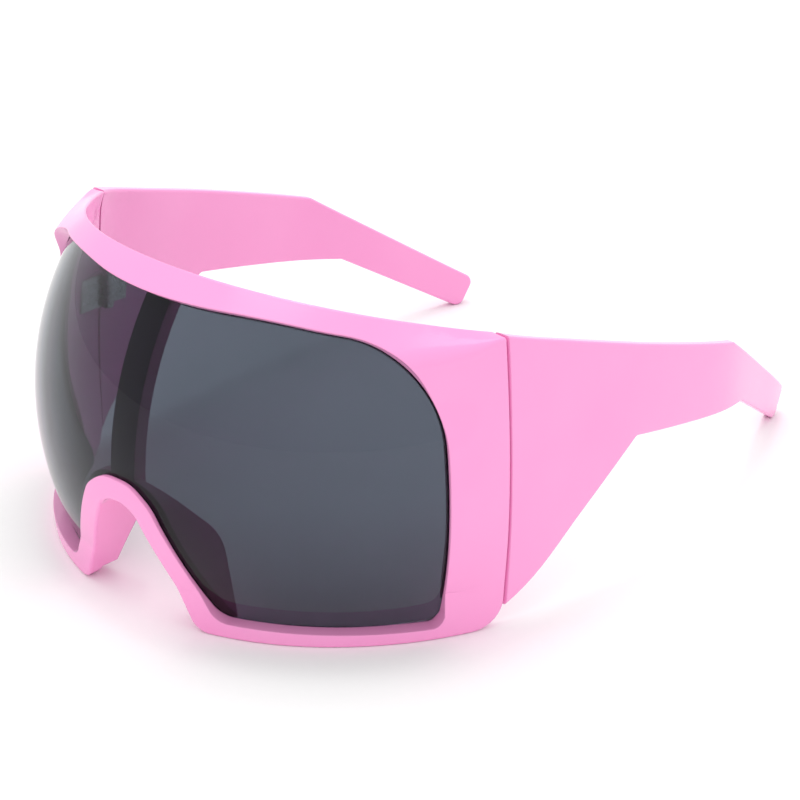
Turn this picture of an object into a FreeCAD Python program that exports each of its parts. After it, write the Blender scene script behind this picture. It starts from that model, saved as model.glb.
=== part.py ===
import FreeCAD, Part
import math
import os

# Shield sunglasses standing on a table: +Z up, the wearer looks along -Y, +X is the wearer's left.
# Millimetres and degrees. While modelling, y = 0 is where the seams meet the table; at the end the
# whole part moves so that the origin is under the middle of its box, on the table.
Vector = FreeCAD.Vector

# Shield: the lens is part of a sphere, and the front's face stands just proud of it
lens_radius = 74.0
lens_thickness = 1.8
face_proud = 1.2
rim_wall = 4.4
shield_centre_height = 34.0
shield_centre_behind_seam = 19.4

# Top and bottom rims: bands from the face out to edges on a larger sphere, and a roof that rises
# from the top edge to a ridge in a plane that slopes up towards the front
rim_edge_radius = 78.5
rim_ridge_radius = 74.7
rim_ridge_inset = 3.6
roof_angle = 9.5
roof_edge_radius = 3.5
top_band_angle = 5.5
foot_band_angle = 9.0
top_height_over_seam = 73.2
front_top_slope = 16.3

# End pieces: upright profiles turn from domed at the lens to nearly flat at the seam
top_flare_start_bearing = 30.0
flare_start_bearing = 45.0
flat_start_bearing = 61.0
seam_bearing = 75.5
seam_bulge = 1.5
seam_foot_flare = 2.2
seam_top_flare = 0.8
seam_ridge_radius = 75.5
seam_roof_angle = 1.6
blend_power = 1.5
end_piece_wall = 3.4
end_piece_corner_radius = 7.5
seam_lean = 2.4
seam_gap = 0.3
edge_radius = 0.7

# Opening for the lens, measured along the lens from the front of its sphere
opening_top = 46.3
opening_top_half_width = 35.8
opening_corner_top = 39.2
opening_half_width = 80.7
opening_bottom = -32.0
opening_foot_bottom = -30.9
opening_foot_half_width = 24.8
opening_bridge = 2.1
opening_bridge_half_width = 7.7
opening_crown_radius = 150.0
opening_corner_radius = 27.7
opening_lower_corner_radius = 3.0
opening_foot_radius = 5.0
opening_bridge_radius = 11.0

# Nose arch, measured the same way
arch_top = -3.6
arch_top_half_width = 4.5
arch_splay = 26.3
arch_top_radius = 6.5
arch_foot_radius = 5.0

# Lens groove and the post behind the middle of the lens
groove_depth = 1.2
groove_clearance = 0.1
lens_edge_clearance = 0.2
post_width = 7.5
post_depth = 3.5
post_clearance = 0.3

# Nose pads: the arch carried straight back, deepest part way up
nose_pad_top_height = 38.0
nose_pad_top_depth = 3.6
nose_pad_middle_height = 21.0
nose_pad_middle_depth = 17.9
nose_pad_middle_radius = 9.0
nose_pad_foot_depth = 14.5
nose_pad_foot_height = 2.8
nose_pad_widening = 2.0

# Temples in plan: (distance behind the seam, half width over the outer faces)
temple_plan = [(22.0, 72.4), (44.0, 74.2), (66.0, 74.0), (86.0, 71.9), (96.0, 69.2), (115.0, 63.2),
               (134.0, 57.2), (145.0, 53.7)]
temple_wall = 3.0
temple_crown = 0.3
temple_seam_lean = -0.08
temple_tip_lean = 0.12

# Temples from the side: (distance behind the seam, height)
temple_foot_height = 5.3
temple_lower_knee = (44.0, 33.9)
temple_rear_knee = (95.2, 22.4)
temple_tip_reach = 131.6
temple_tip_upper = (136.6, 6.9)
temple_top_knee = (86.1, 43.0)
temple_knee_radius = 2.0
temple_tip_radius = 2.5

# Hinges: three knuckles on a screw, with a leaf screwed to the end piece and one to the temple
hinge_height = 45.7
hinge_swing_clearance = 1.0
barrel_radius = 1.65
barrel_length = 9.0
barrel_clearance = 0.3
knuckle_gap = 0.15
leaf_thickness = 0.9
front_leaf_length = 8.6
temple_leaf_length = 7.2
leaf_seat_clearance = 0.15
leaf_seat_margin = 0.6
leaf_seat_depth = 2.2
pin_radius = 0.7
pin_running_clearance = 0.05
pin_fixed_clearance = 0.02
pin_head_radius = 1.2
pin_head_height = 0.7
leaf_screw_radius = 0.5
leaf_screw_head_radius = 1.0
leaf_screw_head_depth = 0.5
leaf_screw_length = 2.8
leaf_screw_spacing = 5.0
screw_hole_clearance = 0.02
screw_slot_width = 0.25
screw_slot_depth = 0.3

# Worked-out places
centre = Vector(0, shield_centre_behind_seam, shield_centre_height)
face_radius = lens_radius + face_proud
lens_inner_radius = lens_radius - lens_thickness
groove_outer_radius = lens_radius + groove_clearance
groove_inner_radius = lens_inner_radius - groove_clearance
behind_lens_radius = groove_inner_radius - post_clearance
front_bearings = [0, 15, 30, 45, 53, 61, 65, 70, 75, 80, 85]
face_steps = 4
curve_points = 9
tip_passes = 8
table_tolerance = 0.1
outline_tolerance = 0.05
below_table = 4.0
above_top = 6.0
rays_start = lens_radius / 4
rays_end = lens_radius * 1.3
far_out = 200.0


def tangent(angle):
    return math.tan(math.radians(angle))


def on_bearing(bearing, reach, height):
    """Point at a plan bearing from the front, about the sphere's upright axis."""
    angle = math.radians(bearing)
    return Vector(reach * math.sin(angle), centre.y - reach * math.cos(angle), height)


def seam_depth(height):
    """Distance of the leaning seam behind its foot."""
    return height * tangent(seam_lean)


def blend(bearing, start):
    """Share from 0 at a starting bearing to 1 at the seam."""
    turn = (abs(bearing) - start) / (seam_bearing - start)
    return min(max(turn, 0.0), 1.0) ** blend_power


def ridge(bearing):
    """Reach and angle above level where the front's sloping top plane meets the ridge's sphere."""
    radius = rim_ridge_radius + (seam_ridge_radius - rim_ridge_radius) * blend(bearing, flat_start_bearing)
    fall = tangent(front_top_slope)
    rise = fall * math.cos(math.radians(bearing))
    offset = top_height_over_seam - fall * centre.y - centre.z
    a = 1 + rise ** 2
    b = offset * rise
    c = offset ** 2 - radius ** 2
    reach = (-b + math.sqrt(b ** 2 - a * c)) / a
    return reach, math.atan((offset + rise * reach) / reach)


def smooth_edge(points):
    """Smooth curve through points that sets off straight towards its second and last ones."""
    curve = Part.BSplineCurve()
    ends = {"InitialTangent": points[1] - points[0], "FinalTangent": points[-1] - points[-2]}
    curve.interpolate(Points=points, **ends)
    return curve.toShape()


def set_back(corner, neighbour, radius):
    return corner + (neighbour - corner).normalize() * radius


def round_corner(before, corner, after, radius):
    curve = Part.BezierCurve()
    curve.setPoles([set_back(corner, before, radius), corner, set_back(corner, after, radius)])
    return curve.toShape()


def section(outer, inner, outer_rounding):
    """Closed upright profile with a rounded top, through points on each face from the top down."""
    inner_end = set_back(inner[0], outer[0], edge_radius)
    outer_end = set_back(outer[0], inner[0], outer_rounding)
    edges = [
        smooth_edge([set_back(outer[0], outer[1], outer_rounding)] + outer[1:]),
        Part.makeLine(outer[-1], inner[-1]),
        smooth_edge(inner[:0:-1] + [set_back(inner[0], inner[1], edge_radius)]),
        round_corner(inner[1], inner[0], outer[0], edge_radius),
        Part.makeLine(inner_end, outer_end),
        round_corner(inner[0], outer[0], outer[1], outer_rounding),
    ]
    return Part.Wire(edges)


def front_profile(bearing):
    """Outer and inner points of the front's wall: radial over the lens, level at the seam."""
    flare = blend(bearing, flare_start_bearing)
    flat = blend(bearing, flat_start_bearing)
    ridge_reach, ridge_angle = ridge(bearing)
    top_angle = ridge_angle - math.radians(roof_angle + (seam_roof_angle - roof_angle) * flare)
    top_radius = rim_edge_radius + seam_top_flare * blend(bearing, top_flare_start_bearing)
    top_reach = top_radius * math.cos(top_angle)
    top_height = centre.z + top_radius * math.sin(top_angle)
    foot_reach = math.sqrt(rim_edge_radius ** 2 - centre.z ** 2) + seam_foot_flare * flare
    wall = rim_wall + (end_piece_wall - rim_wall) * flare

    def on_face(angle):
        height = centre.z + face_radius * math.sin(angle)
        domed = face_radius * math.cos(angle)
        share = height / top_height
        straight = foot_reach + (top_reach - foot_reach) * share + 4 * seam_bulge * share * (1 - share)
        return on_bearing(bearing, domed + (straight - domed) * flat, height)

    def behind(point):
        inward = centre - point
        inward.z *= 1 - flare
        return point + inward.normalize() * wall

    first = top_angle - math.radians(top_band_angle)
    last = math.radians(foot_band_angle) - math.asin(centre.z / rim_edge_radius)
    outer = [on_bearing(bearing, top_reach, top_height)]
    for step in range(face_steps + 1):
        outer.append(on_face(first + (last - first) * step / face_steps))
    outer.append(on_bearing(bearing, foot_reach, -below_table))
    inner = [on_bearing(bearing, ridge_reach, centre.z + ridge_reach * math.tan(ridge_angle))]
    inner.append(behind(on_face(ridge_angle - math.radians(rim_ridge_inset))))
    return outer, inner + [behind(point) for point in outer[1:]]


def front_section(bearing, extra_height=0):
    """Profile of the front's wall, or of a taller wall that goes on in the same directions."""
    faces = front_profile(bearing)
    for points in faces:
        points[0] += (points[0] - points[1]).normalize() * extra_height
    rounding = roof_edge_radius + (edge_radius - roof_edge_radius) * blend(bearing, flat_start_bearing)
    return section(*faces, rounding)


def rounded_outline(corners):
    """Closed outline in the XY plane from (x, y, corner radius)."""
    points = [Vector(x, y, 0) for x, y, radius in corners]
    starts = []
    ends = []
    edges = []
    for i, corner in enumerate(points):
        before = (points[i - 1] - corner).normalize()
        after = (points[(i + 1) % len(points)] - corner).normalize()
        half = before.getAngle(after) / 2
        radius = corners[i][2]
        setback = radius / math.tan(half)
        starts.append(corner + before * setback)
        ends.append(corner + after * setback)
        if radius:
            middle = (before + after).normalize() * (radius / math.sin(half) - radius)
            edges.append(Part.Arc(starts[i], corner + middle, ends[i]).toShape())
    for i in range(len(points)):
        edges.append(Part.makeLine(ends[i - 1], starts[i]))
    return Part.Wire(Part.__sortEdges__(edges))


def mirrored_outline(half):
    """Outline on the lens from its half with x >= 0, top first."""
    return rounded_outline(half + [(-x, y, radius) for x, y, radius in reversed(half)])


def ray_through(across, up):
    """Direction from the sphere's centre through a place on the lens, one unit forward."""
    bearing = across / lens_radius
    return Vector(math.tan(bearing), -1, math.tan(up / lens_radius) / math.cos(bearing))


def on_sphere(across, up, radius):
    return centre + ray_through(across, up).normalize() * radius


def carried_outline(outline, place):
    """Outline drawn on the lens, carried to where a function puts its points."""
    edges = []
    for edge in outline.Edges:
        spline = Part.BSplineCurve()
        spline.interpolate([place(point.x, point.y) for point in edge.discretize(curve_points)])
        edges.append(spline.toShape())
    return Part.Wire(Part.__sortEdges__(edges))


def ray_solid(outline, level_below=False):
    """Solid of all rays from the sphere's centre through an outline drawn on the lens.

    With level_below, the walls below the height of the centre go straight out instead of down.
    """
    def carried(distance):
        def place(across, up):
            spot = centre + ray_through(across, up) * distance
            if level_below and up < 0:
                spot.z = centre.z + lens_radius * math.sin(up / lens_radius)
            return spot

        return carried_outline(outline, place)

    return Part.makeLoft([carried(rays_start), carried(rays_end)], True, True)


def shell(outer_radius, inner_radius):
    return Part.makeSphere(outer_radius, centre).cut(Part.makeSphere(inner_radius, centre))


def side_prism(corners, x_from, x_to):
    """Solid with a side outline given as (y, z, corner radius), between two x values."""
    face = Part.Face(rounded_outline(corners))
    turn = FreeCAD.Rotation(Vector(0, 1, 0), Vector(0, 0, 1), Vector(1, 0, 0), "XYZ")
    face.Placement = FreeCAD.Placement(Vector(x_from, 0, 0), turn)
    return face.extrude(Vector(x_to - x_from, 0, 0))


def mirror(shape):
    return shape.mirror(Vector(0, 0, 0), Vector(1, 0, 0))


# Outlines drawn on the lens
opening = mirrored_outline([
    (opening_top_half_width, opening_top, opening_crown_radius),
    (opening_half_width, opening_corner_top, opening_corner_radius),
    (opening_half_width, opening_bottom, opening_lower_corner_radius),
    (opening_foot_half_width, opening_foot_bottom, opening_foot_radius),
    (opening_bridge_half_width, opening_bridge, opening_bridge_radius),
])
arch_foot = 2 * opening_bottom
arch = mirrored_outline([
    (arch_top_half_width, arch_top, arch_top_radius),
    (arch_top_half_width + (arch_top - arch_foot) * tangent(arch_splay), arch_foot, 0),
])


def make_lens():
    edge = opening.makeOffset2D(groove_depth - lens_edge_clearance)
    return shell(lens_radius, lens_inner_radius).common(ray_solid(edge))


def make_post():
    """Bar behind the middle of the lens, from the top rim to the nose bridge."""
    top = centre + ray_through(0, opening_top + rim_wall / 2) * far_out
    bottom = centre + ray_through(0, (arch_top + opening_bridge) / 2) * far_out
    corners = [(top.y, top.z, 0), (centre.y, centre.z, 0), (bottom.y, bottom.z, 0)]
    bar = side_prism(corners, -post_width / 2, post_width / 2)
    return shell(behind_lens_radius, behind_lens_radius - post_depth).common(bar)


def make_nose_pads(lens_room):
    """The bridge carried straight back behind the lens, with a side outline that is deepest mid-way.

    Beside the room for the lens the pads also reach forward into the legs of the arch.
    """
    bridge = on_sphere(opening_bridge_half_width, opening_bridge, face_radius)
    foot = on_sphere(opening_foot_half_width, opening_foot_bottom, face_radius)
    splay = (foot.x - bridge.x) / (bridge.z - foot.z)
    top_half_width = bridge.x + nose_pad_widening
    outline = mirrored_outline([
        (top_half_width, bridge.z, opening_bridge_radius),
        (top_half_width + bridge.z * splay, 0, 0),
    ])
    face = Part.Face(outline)
    front = centre.y - face_radius
    face.Placement = FreeCAD.Placement(Vector(0, front, 0), FreeCAD.Rotation(Vector(1, 0, 0), 90))
    side = side_prism([
        (front, nose_pad_top_height, 0),
        (front + nose_pad_top_depth, nose_pad_top_height, 0),
        (front + nose_pad_middle_depth, nose_pad_middle_height, nose_pad_middle_radius),
        (front + nose_pad_foot_depth, nose_pad_foot_height, 0),
        (front, nose_pad_foot_height, 0),
    ], -far_out, far_out)
    pads = face.extrude(Vector(0, nose_pad_middle_depth, 0)).common(side)
    in_legs = pads.common(Part.makeSphere(face_radius - edge_radius, centre)).cut(lens_room)
    return pads.common(Part.makeSphere(behind_lens_radius, centre)).fuse(in_legs)


def middle(edge):
    return edge.valueAt((edge.FirstParameter + edge.LastParameter) / 2)


def off_seam(edge):
    place = middle(edge)
    return abs(place.y - seam_depth(place.z)) > seam_gap


def along_arch(edge):
    """Whether an edge runs in front of the lens along the walls of the nose arch."""
    place = middle(edge) - centre
    ends = [(vertex.Point - centre).Length for vertex in edge.Vertexes]
    across = lens_radius * math.atan2(place.x, -place.y)
    up = lens_radius * math.asin(place.z / place.Length)
    apart = Part.Vertex(across, up, 0).distToShape(arch)[0]
    return min(ends) > lens_radius and apart < outline_tolerance


def broad_faces(shape):
    """Outer and inner face of a wall, which are its two largest faces."""
    faces = sorted(shape.Faces, key=lambda face: face.Area)
    return faces[-1], faces[-2]


def make_front_frame():
    stations = [-bearing for bearing in reversed(front_bearings[1:])] + front_bearings
    foot = seam_depth(0) - seam_gap / 2
    head = seam_depth(far_out) - seam_gap / 2
    side = side_prism([
        (-far_out, 0, 0),
        (foot, 0, end_piece_corner_radius),
        (head, far_out, 0),
        (-far_out, far_out, 0),
    ], -far_out, far_out)
    arch_rays = ray_solid(arch)
    frame = Part.makeLoft([front_section(bearing) for bearing in stations], True, False)
    frame = frame.common(side).cut(ray_solid(opening, level_below=True)).cut(arch_rays)
    floor = [edge for edge in frame.Edges if abs(middle(edge).z) < table_tolerance]
    feet = [edge for edge in floor if abs(middle(edge).x) < opening_foot_half_width]
    frame = frame.makeFillet(arch_foot_radius, feet)
    frame = frame.makeFillet(edge_radius, [edge for edge in frame.Edges if along_arch(edge)])
    lens_room = ray_solid(opening.makeOffset2D(groove_depth))
    groove = shell(groove_outer_radius, groove_inner_radius).common(lens_room)
    return frame.fuse(make_post()).fuse(make_nose_pads(lens_room).cut(arch_rays)).cut(groove)


seam_top_height = front_profile(seam_bearing)[1][0].z
seam_top = (seam_depth(seam_top_height) + seam_gap / 2, seam_top_height)


def temple_sections():
    """Upright profiles of the left temple, which start in the end piece so that its faces flow on."""
    bearings = [bearing for bearing in front_bearings if flat_start_bearing < bearing < seam_bearing]
    sections = [front_section(bearing, above_top) for bearing in bearings]
    fall = (seam_top[1] - temple_top_knee[1]) / (temple_top_knee[0] - seam_top[0])
    for i, (behind, half_width) in enumerate(temple_plan):
        before = temple_plan[max(i - 1, 0)]
        after = temple_plan[min(i + 1, len(temple_plan) - 1)]
        inward = Vector(-1, (after[1] - before[1]) / (after[0] - before[0]), 0).normalize() * temple_wall
        lean = temple_seam_lean + (temple_tip_lean - temple_seam_lean) * behind / temple_plan[-1][0]
        top = seam_top[1] - fall * (behind - seam_top[0]) + above_top
        outer = []
        for step in range(face_steps + 3):
            share = 1 - step / (face_steps + 2)
            height = -below_table + (top + below_table) * share
            crown = 4 * temple_crown * share * (1 - share)
            outer.append(Vector(half_width + lean * (height - top / 2) + crown, behind, height))
        sections.append(section(outer, [point + inward for point in outer], edge_radius))
    return sections


def temple_outline(tip_height):
    return [
        (seam_depth(temple_foot_height) + seam_gap / 2, temple_foot_height, 0),
        (*temple_lower_knee, temple_knee_radius),
        (*temple_rear_knee, temple_knee_radius),
        (temple_tip_reach, tip_height, temple_tip_radius),
        (*temple_tip_upper, temple_tip_radius),
        (*temple_top_knee, temple_knee_radius),
        (*seam_top, 0),
    ]


def make_left_temple():
    tip_height = 0.0
    for step in range(tip_passes):
        tip_height -= rounded_outline(temple_outline(tip_height)).BoundBox.YMin
    temple = Part.makeLoft(temple_sections(), True, False)
    temple = temple.common(side_prism(temple_outline(tip_height), 0, far_out))
    outer, inner = broad_faces(temple)
    return temple.makeFillet(edge_radius, [edge for edge in outer.Edges + inner.Edges if off_seam(edge)])


# Hinge frame on the left: z along the pin, y square to the seam and backwards, x outwards
seam_inner = front_profile(seam_bearing)[1]
tilt = (seam_inner[0].x - seam_inner[-1].x) / (seam_inner[0].z - seam_inner[-1].z)
pin_direction = Vector(tilt, tangent(seam_lean), 1).normalize()
seam_normal = Vector(0, 1, -tangent(seam_lean)).normalize()
pin_x = seam_inner[-1].x + tilt * (hinge_height - seam_inner[-1].z) - hinge_swing_clearance
pin_centre = Vector(pin_x, seam_depth(hinge_height), hinge_height)
hinge_turn = FreeCAD.Rotation(seam_normal.cross(pin_direction), seam_normal, pin_direction, "ZYX")
hinge_place = FreeCAD.Placement(pin_centre, hinge_turn)

knuckle = (barrel_length - 2 * knuckle_gap) / 3
knuckle_bottoms = {"front": [-barrel_length / 2, barrel_length / 2 - knuckle], "temple": [-knuckle / 2]}
leaf_ends = {"front": -front_leaf_length, "temple": temple_leaf_length}
bore_clearances = {"front": pin_fixed_clearance, "temple": pin_running_clearance}
leaf_start = barrel_radius + barrel_clearance
leaf_face = barrel_radius - leaf_thickness


def in_hinge(shape):
    shape.Placement = hinge_place
    return shape


def barrel(radius, bottom, height):
    return Part.makeCylinder(radius, height, Vector(0, 0, bottom))


def block(x_range, y_range, z_range):
    """Box between two values on each axis of the hinge frame, given in any order."""
    low = Vector(min(x_range), min(y_range), min(z_range))
    high = Vector(max(x_range), max(y_range), max(z_range))
    return Part.makeBox(high.x - low.x, high.y - low.y, high.z - low.z, low)


def screw_places(owner):
    """Middle of each leaf screw's head, in the hinge frame."""
    along = (math.copysign(leaf_start, leaf_ends[owner]) + leaf_ends[owner]) / 2
    return [Vector(leaf_face, along, side * leaf_screw_spacing / 2) for side in (-1, 1)]


def leaf_screw(place, clearance):
    outwards = Vector(1, 0, 0)
    head_radius = leaf_screw_head_radius + clearance
    shank_radius = leaf_screw_radius + clearance
    head = Part.makeCone(head_radius, shank_radius, leaf_screw_head_depth, place, outwards)
    shank = Part.makeCylinder(shank_radius, leaf_screw_length + clearance, place, outwards)
    return head.fuse(shank)


def make_leaf(owner):
    end = leaf_ends[owner]
    start = math.copysign(leaf_start, end)
    half = barrel_length / 2
    leaf = block((leaf_face, barrel_radius), (start, end), (-half, half))
    for bottom in knuckle_bottoms[owner]:
        arm = block((leaf_face, barrel_radius), (0, start), (bottom, bottom + knuckle))
        leaf = leaf.fuse(arm).fuse(barrel(barrel_radius, bottom, knuckle))
    bore = barrel(pin_radius + bore_clearances[owner], -half, barrel_length)
    holes = [leaf_screw(place, screw_hole_clearance) for place in screw_places(owner)]
    return leaf.cut([bore] + holes).removeSplitter()


def make_leaf_screws(owner):
    screws = []
    reach = 2 * leaf_screw_head_radius
    for place in screw_places(owner):
        slot = block((place.x, place.x + screw_slot_depth), (place.y - reach, place.y + reach),
                     (place.z - screw_slot_width / 2, place.z + screw_slot_width / 2))
        screws.append(leaf_screw(place, 0).cut(slot))
    return Part.makeCompound(screws)


def make_hinge_screw():
    half = barrel_length / 2
    top = half + pin_head_height
    reach = 2 * pin_head_radius
    across = (-screw_slot_width / 2, screw_slot_width / 2)
    slot = block((-reach, reach), across, (top - screw_slot_depth, top))
    screw = barrel(pin_radius, -half, barrel_length).fuse(barrel(pin_head_radius, half, pin_head_height))
    return screw.cut(slot).removeSplitter()


def seat_leaf(body, owner):
    """Adds the raised pad that a leaf lies on, then cuts its pocket, barrel room and screw holes."""
    end = leaf_ends[owner]
    gap = math.copysign(seam_gap, end)
    margin = math.copysign(leaf_seat_margin, end)
    edge = math.copysign(leaf_seat_clearance, end)
    half = barrel_length / 2
    pad_half = half + leaf_seat_margin
    pocket_half = half + leaf_seat_clearance
    under_leaf = (barrel_radius, barrel_radius + leaf_seat_depth)
    pad = block(under_leaf, (gap, end + margin), (-pad_half, pad_half))
    pocket = block((-barrel_length, barrel_radius), (-gap, end + edge), (-pocket_half, pocket_half))
    room_length = barrel_length + pin_head_height + 2 * barrel_clearance
    room = barrel(leaf_start, -half - barrel_clearance, room_length)
    holes = [leaf_screw(place, screw_hole_clearance) for place in screw_places(owner)]
    return body.fuse(in_hinge(pad)).cut([in_hinge(tool) for tool in [pocket, room] + holes])


def make_nodes():
    frame = seat_leaf(make_front_frame(), "front")
    frame = mirror(seat_leaf(mirror(frame), "front"))
    nodes = {"front_frame": frame, "shield_lens": make_lens()}
    left = {"temple": seat_leaf(make_left_temple(), "temple"), "hinge_screw": in_hinge(make_hinge_screw())}
    for owner in ("front", "temple"):
        left[owner + "_hinge_leaf"] = in_hinge(make_leaf(owner))
        left[owner + "_leaf_screws"] = in_hinge(make_leaf_screws(owner))
    for name, shape in left.items():
        nodes["left_" + name] = shape
        nodes["right_" + name] = mirror(shape)
    return nodes


os.makedirs("parts", exist_ok=True)
nodes = make_nodes()
box = Part.makeCompound(list(nodes.values())).optimalBoundingBox()
origin = Vector(0, (box.YMin + box.YMax) / 2, box.ZMin)
for name, shape in nodes.items():
    shape.translate(-origin)
    shape.exportStep("parts/" + name + ".step")
    print(name, len(shape.Solids), "solids", shape.isValid(), round(shape.Volume, 1), "mm3")
print("origin moved by", origin)
print("left pin through", pin_centre - origin, "along", pin_direction)
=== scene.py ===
# %% [markdown]
# # Shield sunglasses in Blender
# The CAD model gives every piece its shape and place. This lesson loads it as a fixed frame, puts smooth
# skins on the moulded pieces, gives each piece the finish of its real material, and then lights it as a
# small product photograph. Lengths are in metres here, because that is Blender's unit.

# %% Load the CAD frame
import bmesh
import bpy
import math
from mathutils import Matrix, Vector


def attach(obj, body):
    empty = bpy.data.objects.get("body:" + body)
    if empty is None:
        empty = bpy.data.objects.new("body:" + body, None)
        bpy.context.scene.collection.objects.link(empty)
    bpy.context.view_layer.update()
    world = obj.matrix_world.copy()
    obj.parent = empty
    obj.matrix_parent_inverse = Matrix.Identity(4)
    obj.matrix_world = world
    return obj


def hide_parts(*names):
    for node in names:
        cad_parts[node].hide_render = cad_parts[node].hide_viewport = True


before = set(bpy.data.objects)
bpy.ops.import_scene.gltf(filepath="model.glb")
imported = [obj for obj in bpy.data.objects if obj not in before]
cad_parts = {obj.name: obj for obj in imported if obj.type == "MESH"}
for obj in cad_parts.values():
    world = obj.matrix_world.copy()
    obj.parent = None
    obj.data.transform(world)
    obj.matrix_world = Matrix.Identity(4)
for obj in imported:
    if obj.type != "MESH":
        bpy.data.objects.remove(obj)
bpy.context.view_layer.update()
MM = 0.001
print("CAD nodes:", sorted(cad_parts))

# %% [markdown]
# ## Smooth skins
# The front, the lens and the two temples are injection moulded and polished, so light runs over them
# without a break. A CAD mesh arrives as loose triangles, with a seam wherever two CAD faces meet, and those
# seams would show in the gloss. We could shade the nodes as they are, but a merged copy is better: its
# points are welded, faces that meet softly share their shading, and only true corners stay sharp.

# %% Weld a copy of each moulded piece
WELD = 0.004 * MM
CORNER = math.radians(32)


def smooth_skin(node_name, skin_name, body):
    """A welded, smoothly shaded copy of one CAD node, which stands for it."""
    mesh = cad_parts[node_name].data.copy()
    mesh.name = skin_name
    shape = bmesh.new()
    shape.from_mesh(mesh)
    bmesh.ops.remove_doubles(shape, verts=shape.verts, dist=WELD)
    bmesh.ops.dissolve_degenerate(shape, edges=shape.edges, dist=WELD)
    shape.to_mesh(mesh)
    shape.free()
    if "custom_normal" in mesh.attributes:
        mesh.attributes.remove(mesh.attributes["custom_normal"])
    mesh.shade_smooth()
    mesh.set_sharp_from_angle(angle=CORNER)
    mesh.materials.clear()
    skin = bpy.data.objects.new(skin_name, mesh)
    bpy.context.scene.collection.objects.link(skin)
    weighted = skin.modifiers.new("even_normals", "WEIGHTED_NORMAL")
    weighted.keep_sharp = True
    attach(skin, body)
    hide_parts(node_name)
    print(skin_name, "has", len(mesh.polygons), "triangles")
    return skin


front = smooth_skin("front_frame", "front_moulding", "front")
lens = smooth_skin("shield_lens", "lens_moulding", "front")
temples = [
    smooth_skin(side + "_temple", side + "_temple_moulding", side + "_arm")
    for side in ("left", "right")
]

# %% [markdown]
# ## Helpers for materials
# Colours are easiest to read as hex values from a paint chart. Blender's shaders want linear light, so one
# function turns the one into the other. A second function adds a node, sets it and links it, so that each
# material below reads as a short list of what it is made of. A third starts a material with no nodes.

# %% Colour and node helpers
# A noise texture's values lie mostly between these two
NOISE_LOW = 0.3
NOISE_HIGH = 0.7


def colour(hex_value):
    """Linear RGBA from an sRGB hex value."""
    channels = [int(hex_value[i:i + 2], 16) / 255 for i in (1, 3, 5)]
    linear = [c / 12.92 if c <= 0.04045 else ((c + 0.055) / 1.055) ** 2.4 for c in channels]
    return (*linear, 1.0)


def add_node(material, kind, inputs=None, **settings):
    """A node with its settings; an input is a value, or an output of another node."""
    node = material.node_tree.nodes.new(kind)
    for name, value in settings.items():
        setattr(node, name, value)
    for name, value in (inputs or {}).items():
        if isinstance(value, bpy.types.NodeSocket):
            material.node_tree.links.new(value, node.inputs[name])
        else:
            node.inputs[name].default_value = value
    return node


def new_material(name):
    material = bpy.data.materials.new(name)
    material.use_nodes = True
    material.node_tree.nodes.clear()
    return material


# %% [markdown]
# ## Pink moulded polycarbonate
# The front and temples are coloured right through and come out of a polished mould, so they are glossy with
# no grain. Three things keep real plastic from looking like flat paint: the colour drifts a little where the
# melt flowed, over some 30 mm, handling leaves the gloss uneven in patches some 14 mm wide, and the skin has
# a very faint orange peel, a few millimetres across, which ripples the reflections. The peel here is drawn a
# little stronger than life so that it shows at all. No moulded corner is knife sharp either, so a bevel node
# rounds the shading of every corner by half a millimetre. That is a small enough radius to leave the shape
# itself alone.

# %% Make the pink plastic
FLOW_MM = 30.0
SMEAR_MM = 14.0
PEEL_MM = 5.0
PEEL_DEPTH_MM = 0.05
PEEL_STRENGTH = 0.04
CORNER_MM = 0.5
CORNER_SAMPLES = 8
POLYCARBONATE_IOR = 1.58
SMOOTHEST_PINK = 0.10
ROUGHEST_PINK = 0.16

pink = new_material("pink_moulded_polycarbonate")
place = add_node(pink, "ShaderNodeTexCoord")
flow = add_node(pink, "ShaderNodeTexNoise", {
    "Vector": place.outputs["Object"], "Scale": 1 / (FLOW_MM * MM), "Detail": 2.0, "Roughness": 0.5})
tint = add_node(pink, "ShaderNodeMix", {
    "Factor": flow.outputs["Fac"], "A": colour("#F998D1"), "B": colour("#FCA4D8")}, data_type="RGBA")
smear = add_node(pink, "ShaderNodeTexNoise", {
    "Vector": place.outputs["Object"], "Scale": 1 / (SMEAR_MM * MM), "Detail": 4.0, "Roughness": 0.6})
polish = add_node(pink, "ShaderNodeMapRange", {
    "Value": smear.outputs["Fac"], "From Min": NOISE_LOW, "From Max": NOISE_HIGH,
    "To Min": SMOOTHEST_PINK, "To Max": ROUGHEST_PINK})
peel = add_node(pink, "ShaderNodeTexNoise", {
    "Vector": place.outputs["Object"], "Scale": 1 / (PEEL_MM * MM), "Detail": 1.0})
corners = add_node(pink, "ShaderNodeBevel", {"Radius": CORNER_MM * MM}, samples=CORNER_SAMPLES)
ripple = add_node(pink, "ShaderNodeBump", {
    "Height": peel.outputs["Fac"], "Strength": PEEL_STRENGTH, "Distance": PEEL_DEPTH_MM * MM,
    "Normal": corners.outputs["Normal"]})
shader = add_node(pink, "ShaderNodeBsdfPrincipled", {
    "Base Color": tint.outputs["Result"], "Roughness": polish.outputs["Result"],
    "Normal": ripple.outputs["Normal"], "IOR": POLYCARBONATE_IOR})
add_node(pink, "ShaderNodeOutputMaterial", {"Surface": shader.outputs["BSDF"]})
for piece in [front] + temples:
    piece.data.materials.append(pink)
print("pink plastic on", 1 + len(temples), "pieces")

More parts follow.
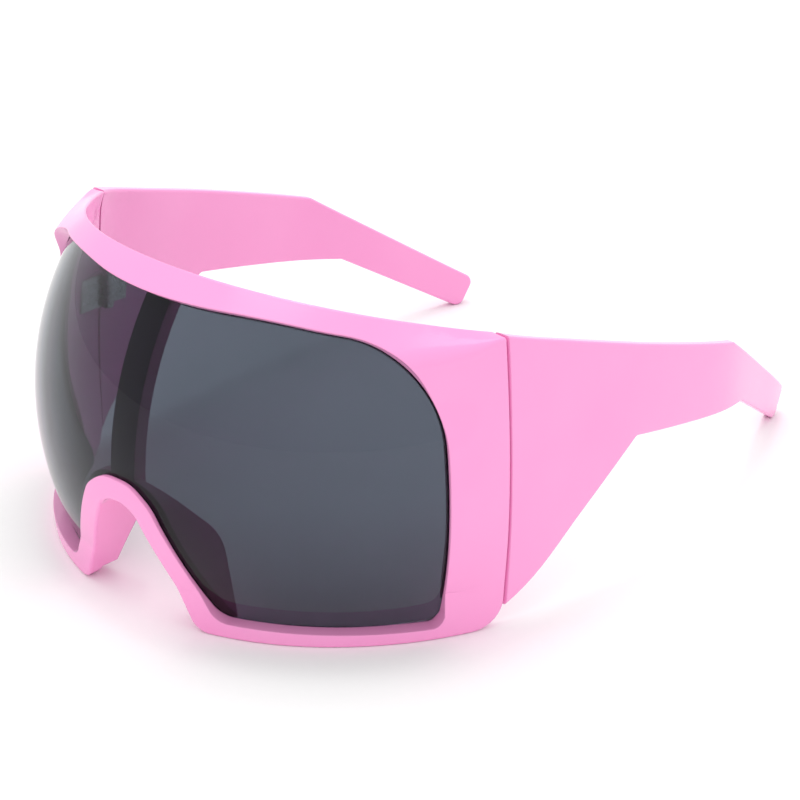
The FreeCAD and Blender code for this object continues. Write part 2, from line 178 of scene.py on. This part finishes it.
# %% [markdown]
# ## Smoke-grey lens
# The lens is one sheet of tinted polycarbonate, moulded to part of a sphere. It lets through about a tenth
# of the light, a little bluer than grey. Towards the bottom rim its colour is darkened as painted shade.
# Light crosses two surfaces on its way through, and the shader shares its colour out between them, so the
# colours set here are the tint of the whole sheet. A coating holds reflections down, which the grey specular
# tint stands for. A breath of haze, in patches some 25 mm wide, keeps it from looking like a perfect mirror.

# %% Make the lens
HAZE_MM = 25.0
FULL_SHADE_BELOW_MM = 6.0
NO_SHADE_ABOVE_MM = 38.0
CLEAREST_LENS = 0.015
HAZIEST_LENS = 0.04

smoke = new_material("smoke_tinted_polycarbonate")
place = add_node(smoke, "ShaderNodeTexCoord")
haze = add_node(smoke, "ShaderNodeTexNoise", {
    "Vector": place.outputs["Object"], "Scale": 1 / (HAZE_MM * MM), "Detail": 3.0})
sheen = add_node(smoke, "ShaderNodeMapRange", {
    "Value": haze.outputs["Fac"], "From Min": NOISE_LOW, "From Max": NOISE_HIGH,
    "To Min": CLEAREST_LENS, "To Max": HAZIEST_LENS})
shade = add_node(smoke, "ShaderNodeMix", {
    "Factor": haze.outputs["Fac"], "A": colour("#505964"), "B": colour("#555E69")}, data_type="RGBA")
axes = add_node(smoke, "ShaderNodeSeparateXYZ", {"Vector": place.outputs["Object"]})
# Painted shade: the lens colour is darkened to #464954 below 6 mm and fades to the plain tint by 38 mm
low_shade_ramp = add_node(smoke, "ShaderNodeMapRange", {
    "Value": axes.outputs["Z"], "From Min": FULL_SHADE_BELOW_MM * MM, "From Max": NO_SHADE_ABOVE_MM * MM})
painted_low_shade = add_node(smoke, "ShaderNodeMix", {
    "Factor": low_shade_ramp.outputs["Result"], "A": colour("#464954"), "B": shade.outputs["Result"]},
    data_type="RGBA")
shader = add_node(smoke, "ShaderNodeBsdfPrincipled", {
    "Base Color": painted_low_shade.outputs["Result"], "Roughness": sheen.outputs["Result"],
    "Transmission Weight": 1.0, "IOR": POLYCARBONATE_IOR, "Specular Tint": colour("#8A8A8A")})
add_node(smoke, "ShaderNodeOutputMaterial", {"Surface": shader.outputs["BSDF"]})
lens.data.materials.append(smoke)
print("tinted lens made")

# %% [markdown]
# ## Nickel-plated steel
# The hinge leaves and screws are stamped and turned from steel and then nickel plated. Plating is bright but
# never optically flat: fine handling marks, about half a millimetre apart, spread its reflections, and tiny
# differences in the plate warm or cool its colour.

# %% Make the hinge metal
MARK_MM = 0.5
BRIGHTEST_NICKEL = 0.18
DULLEST_NICKEL = 0.34

nickel = new_material("nickel_plated_steel")
place = add_node(nickel, "ShaderNodeTexCoord")
marks = add_node(nickel, "ShaderNodeTexNoise", {
    "Vector": place.outputs["Object"], "Scale": 1 / (MARK_MM * MM), "Detail": 3.0})
plate = add_node(nickel, "ShaderNodeMix", {
    "Factor": marks.outputs["Fac"], "A": colour("#C9C5BE"), "B": colour("#D8D5D0")}, data_type="RGBA")
wear = add_node(nickel, "ShaderNodeMapRange", {
    "Value": marks.outputs["Fac"], "From Min": NOISE_LOW, "From Max": NOISE_HIGH,
    "To Min": BRIGHTEST_NICKEL, "To Max": DULLEST_NICKEL})
shader = add_node(nickel, "ShaderNodeBsdfPrincipled", {
    "Base Color": plate.outputs["Result"], "Roughness": wear.outputs["Result"], "Metallic": 1.0})
add_node(nickel, "ShaderNodeOutputMaterial", {"Surface": shader.outputs["BSDF"]})
metal_nodes = [node for name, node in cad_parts.items() if "hinge" in name or "screws" in name]
for node in metal_nodes:
    node.data.materials.clear()
    node.data.materials.append(nickel)
print("nickel plate on", len(metal_nodes), "nodes")

# %% [markdown]
# ## Table and light
# The photograph was taken on white paper in a bright white room, under one very large soft light overhead.
# The white world lights the object evenly from all sides and is also its background. The overhead light
# brightens the top faces, and a smaller lamp in the same place draws the thin highlights along the edges.
# The table takes the soft, pink-tinted shadow where the object stands, and bare paper comes out white.

# %% Lay the table
TABLE_WIDTH = 6.0
TOOTH_MM = 2.0

board = bmesh.new()
bmesh.ops.create_grid(board, x_segments=1, y_segments=1, size=TABLE_WIDTH / 2)
table_mesh = bpy.data.meshes.new("table")
board.to_mesh(table_mesh)
board.free()
table = bpy.data.objects.new("table", table_mesh)
bpy.context.scene.collection.objects.link(table)
paper = new_material("white_paper")
place = add_node(paper, "ShaderNodeTexCoord")
tooth = add_node(paper, "ShaderNodeTexNoise", {
    "Vector": place.outputs["Object"], "Scale": 1 / (TOOTH_MM * MM), "Detail": 2.0})
sheet = add_node(paper, "ShaderNodeMix", {
    "Factor": tooth.outputs["Fac"], "A": colour("#F6F5F5"), "B": colour("#F8F7F7")}, data_type="RGBA")
matt = add_node(paper, "ShaderNodeBsdfDiffuse", {"Color": sheet.outputs["Result"]})
add_node(paper, "ShaderNodeOutputMaterial", {"Surface": matt.outputs["BSDF"]})
table_mesh.materials.append(paper)

# %% Light the room
ROOM_LIGHT = 1.0
# Name, strength and spread in degrees of each lamp
LAMPS = [("overhead", 0.75, 50.0), ("spark", 0.25, 10.0)]
LAMP_TILT = (-8.0, -10.0, 0.0)

world = bpy.data.worlds.new("studio")
bpy.context.scene.world = world
world.use_nodes = True
world.node_tree.nodes.clear()
sky = add_node(world, "ShaderNodeBackground", {"Color": colour("#FFFFFF"), "Strength": ROOM_LIGHT})
add_node(world, "ShaderNodeOutputWorld", {"Surface": sky.outputs["Background"]})

for name, strength, spread in LAMPS:
    lamp = bpy.data.lights.new(name, "SUN")
    lamp.energy = strength
    lamp.angle = math.radians(spread)
    light = bpy.data.objects.new(name, lamp)
    light.rotation_euler = [math.radians(tilt) for tilt in LAMP_TILT]
    bpy.context.scene.collection.objects.link(light)
print("table, sky and", len(LAMPS), "lamps ready")

# %% [markdown]
# ## Camera
# The photograph looks down on the wearer's left front corner, from about 0.7 m with a long lens. The angles
# and the distance come from fitting a camera to corners of the model, so the render lines up with it.

# %% Set the camera
AZIMUTH = math.radians(41.17)
ELEVATION = math.radians(26.49)
DISTANCE = 0.693
SENSOR_MM = 36.0
FOCAL_MM = 121.84
AIM = Vector((0.0, 0.00347, 0.0193))

level_reach = math.cos(ELEVATION)
back = Vector((math.sin(AZIMUTH) * level_reach, -math.cos(AZIMUTH) * level_reach, math.sin(ELEVATION)))
camera = bpy.data.objects.new("camera", bpy.data.cameras.new("camera"))
camera.data.sensor_width = SENSOR_MM
camera.data.lens = FOCAL_MM
camera.location = AIM + back * DISTANCE
camera.rotation_mode = "QUATERNION"
camera.rotation_quaternion = (-back).to_track_quat("-Z", "Y")
bpy.context.scene.collection.objects.link(camera)
bpy.context.scene.camera = camera
bpy.context.scene.view_settings.view_transform = "Standard"
print("camera", round(DISTANCE, 3), "m from the aim point")

# %% [markdown]
# ## End
# This last cell draws nothing and only prints a closing line.

# %% Finish
print("script finished")
